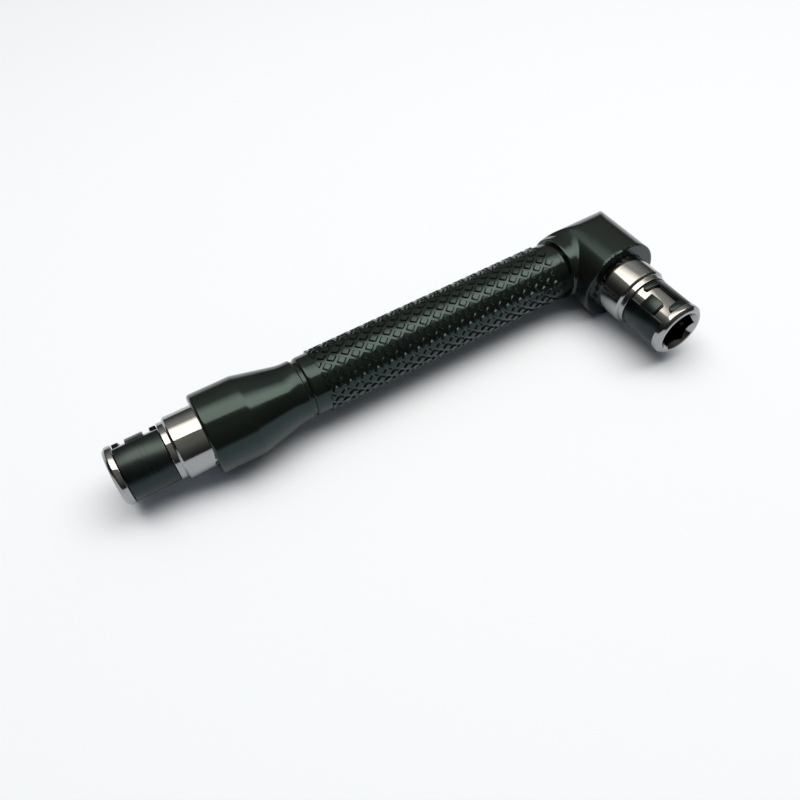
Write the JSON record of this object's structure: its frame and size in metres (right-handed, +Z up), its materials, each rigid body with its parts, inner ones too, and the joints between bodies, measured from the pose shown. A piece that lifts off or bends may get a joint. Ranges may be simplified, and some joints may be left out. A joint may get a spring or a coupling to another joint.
{
  "type": "two-ended hex bit wrench",
  "caption": "Elbow-shaped hand wrench with a moulded plastic grip, a spring-clip hex bit socket in line with the handle and another at a right angle to it.",
  "frame": {"origin": "centre of the mouth of the in-line socket, on the handle's axis", "axes": "+X runs along the handle's axis from the in-line socket's mouth to the head; the angle socket points along -Y; +Z is up as the wrench lies, normal to the plane of the elbow"},
  "size_m": [0.1034, 0.0325, 0.0156],
  "materials": {
    "black_plastic": "injection moulded, semi-gloss black",
    "nickel_steel": "turned and nickel plated, bright",
    "spring_steel": "black oxide, satin",
    "ball_steel": "ground and polished"
  },
  "bodies": {
    "wrench": {"handle": "black_plastic", "inline_socket": "nickel_steel", "inline_clip": "spring_steel", "angle_socket": "nickel_steel", "angle_clip": "spring_steel"},
    "inline_detent": {"inline_ball": "ball_steel"},
    "angle_detent": {"angle_ball": "ball_steel"}
  },
  "joints": [
    {"name": "inline_detent_slide", "type": "slide", "parent": "wrench", "child": "inline_detent", "axis": [0, -1, 0], "range_m": [0, 0.0006], "stiffness_N_per_m": 2000, "springref_m": -0.0005, "deforming": ["inline_clip"]},
    {"name": "angle_detent_slide", "type": "slide", "parent": "wrench", "child": "angle_detent", "axis": [-1, 0, 0], "range_m": [0, 0.0006], "stiffness_N_per_m": 2000, "springref_m": -0.0005, "deforming": ["angle_clip"]}
  ]
}
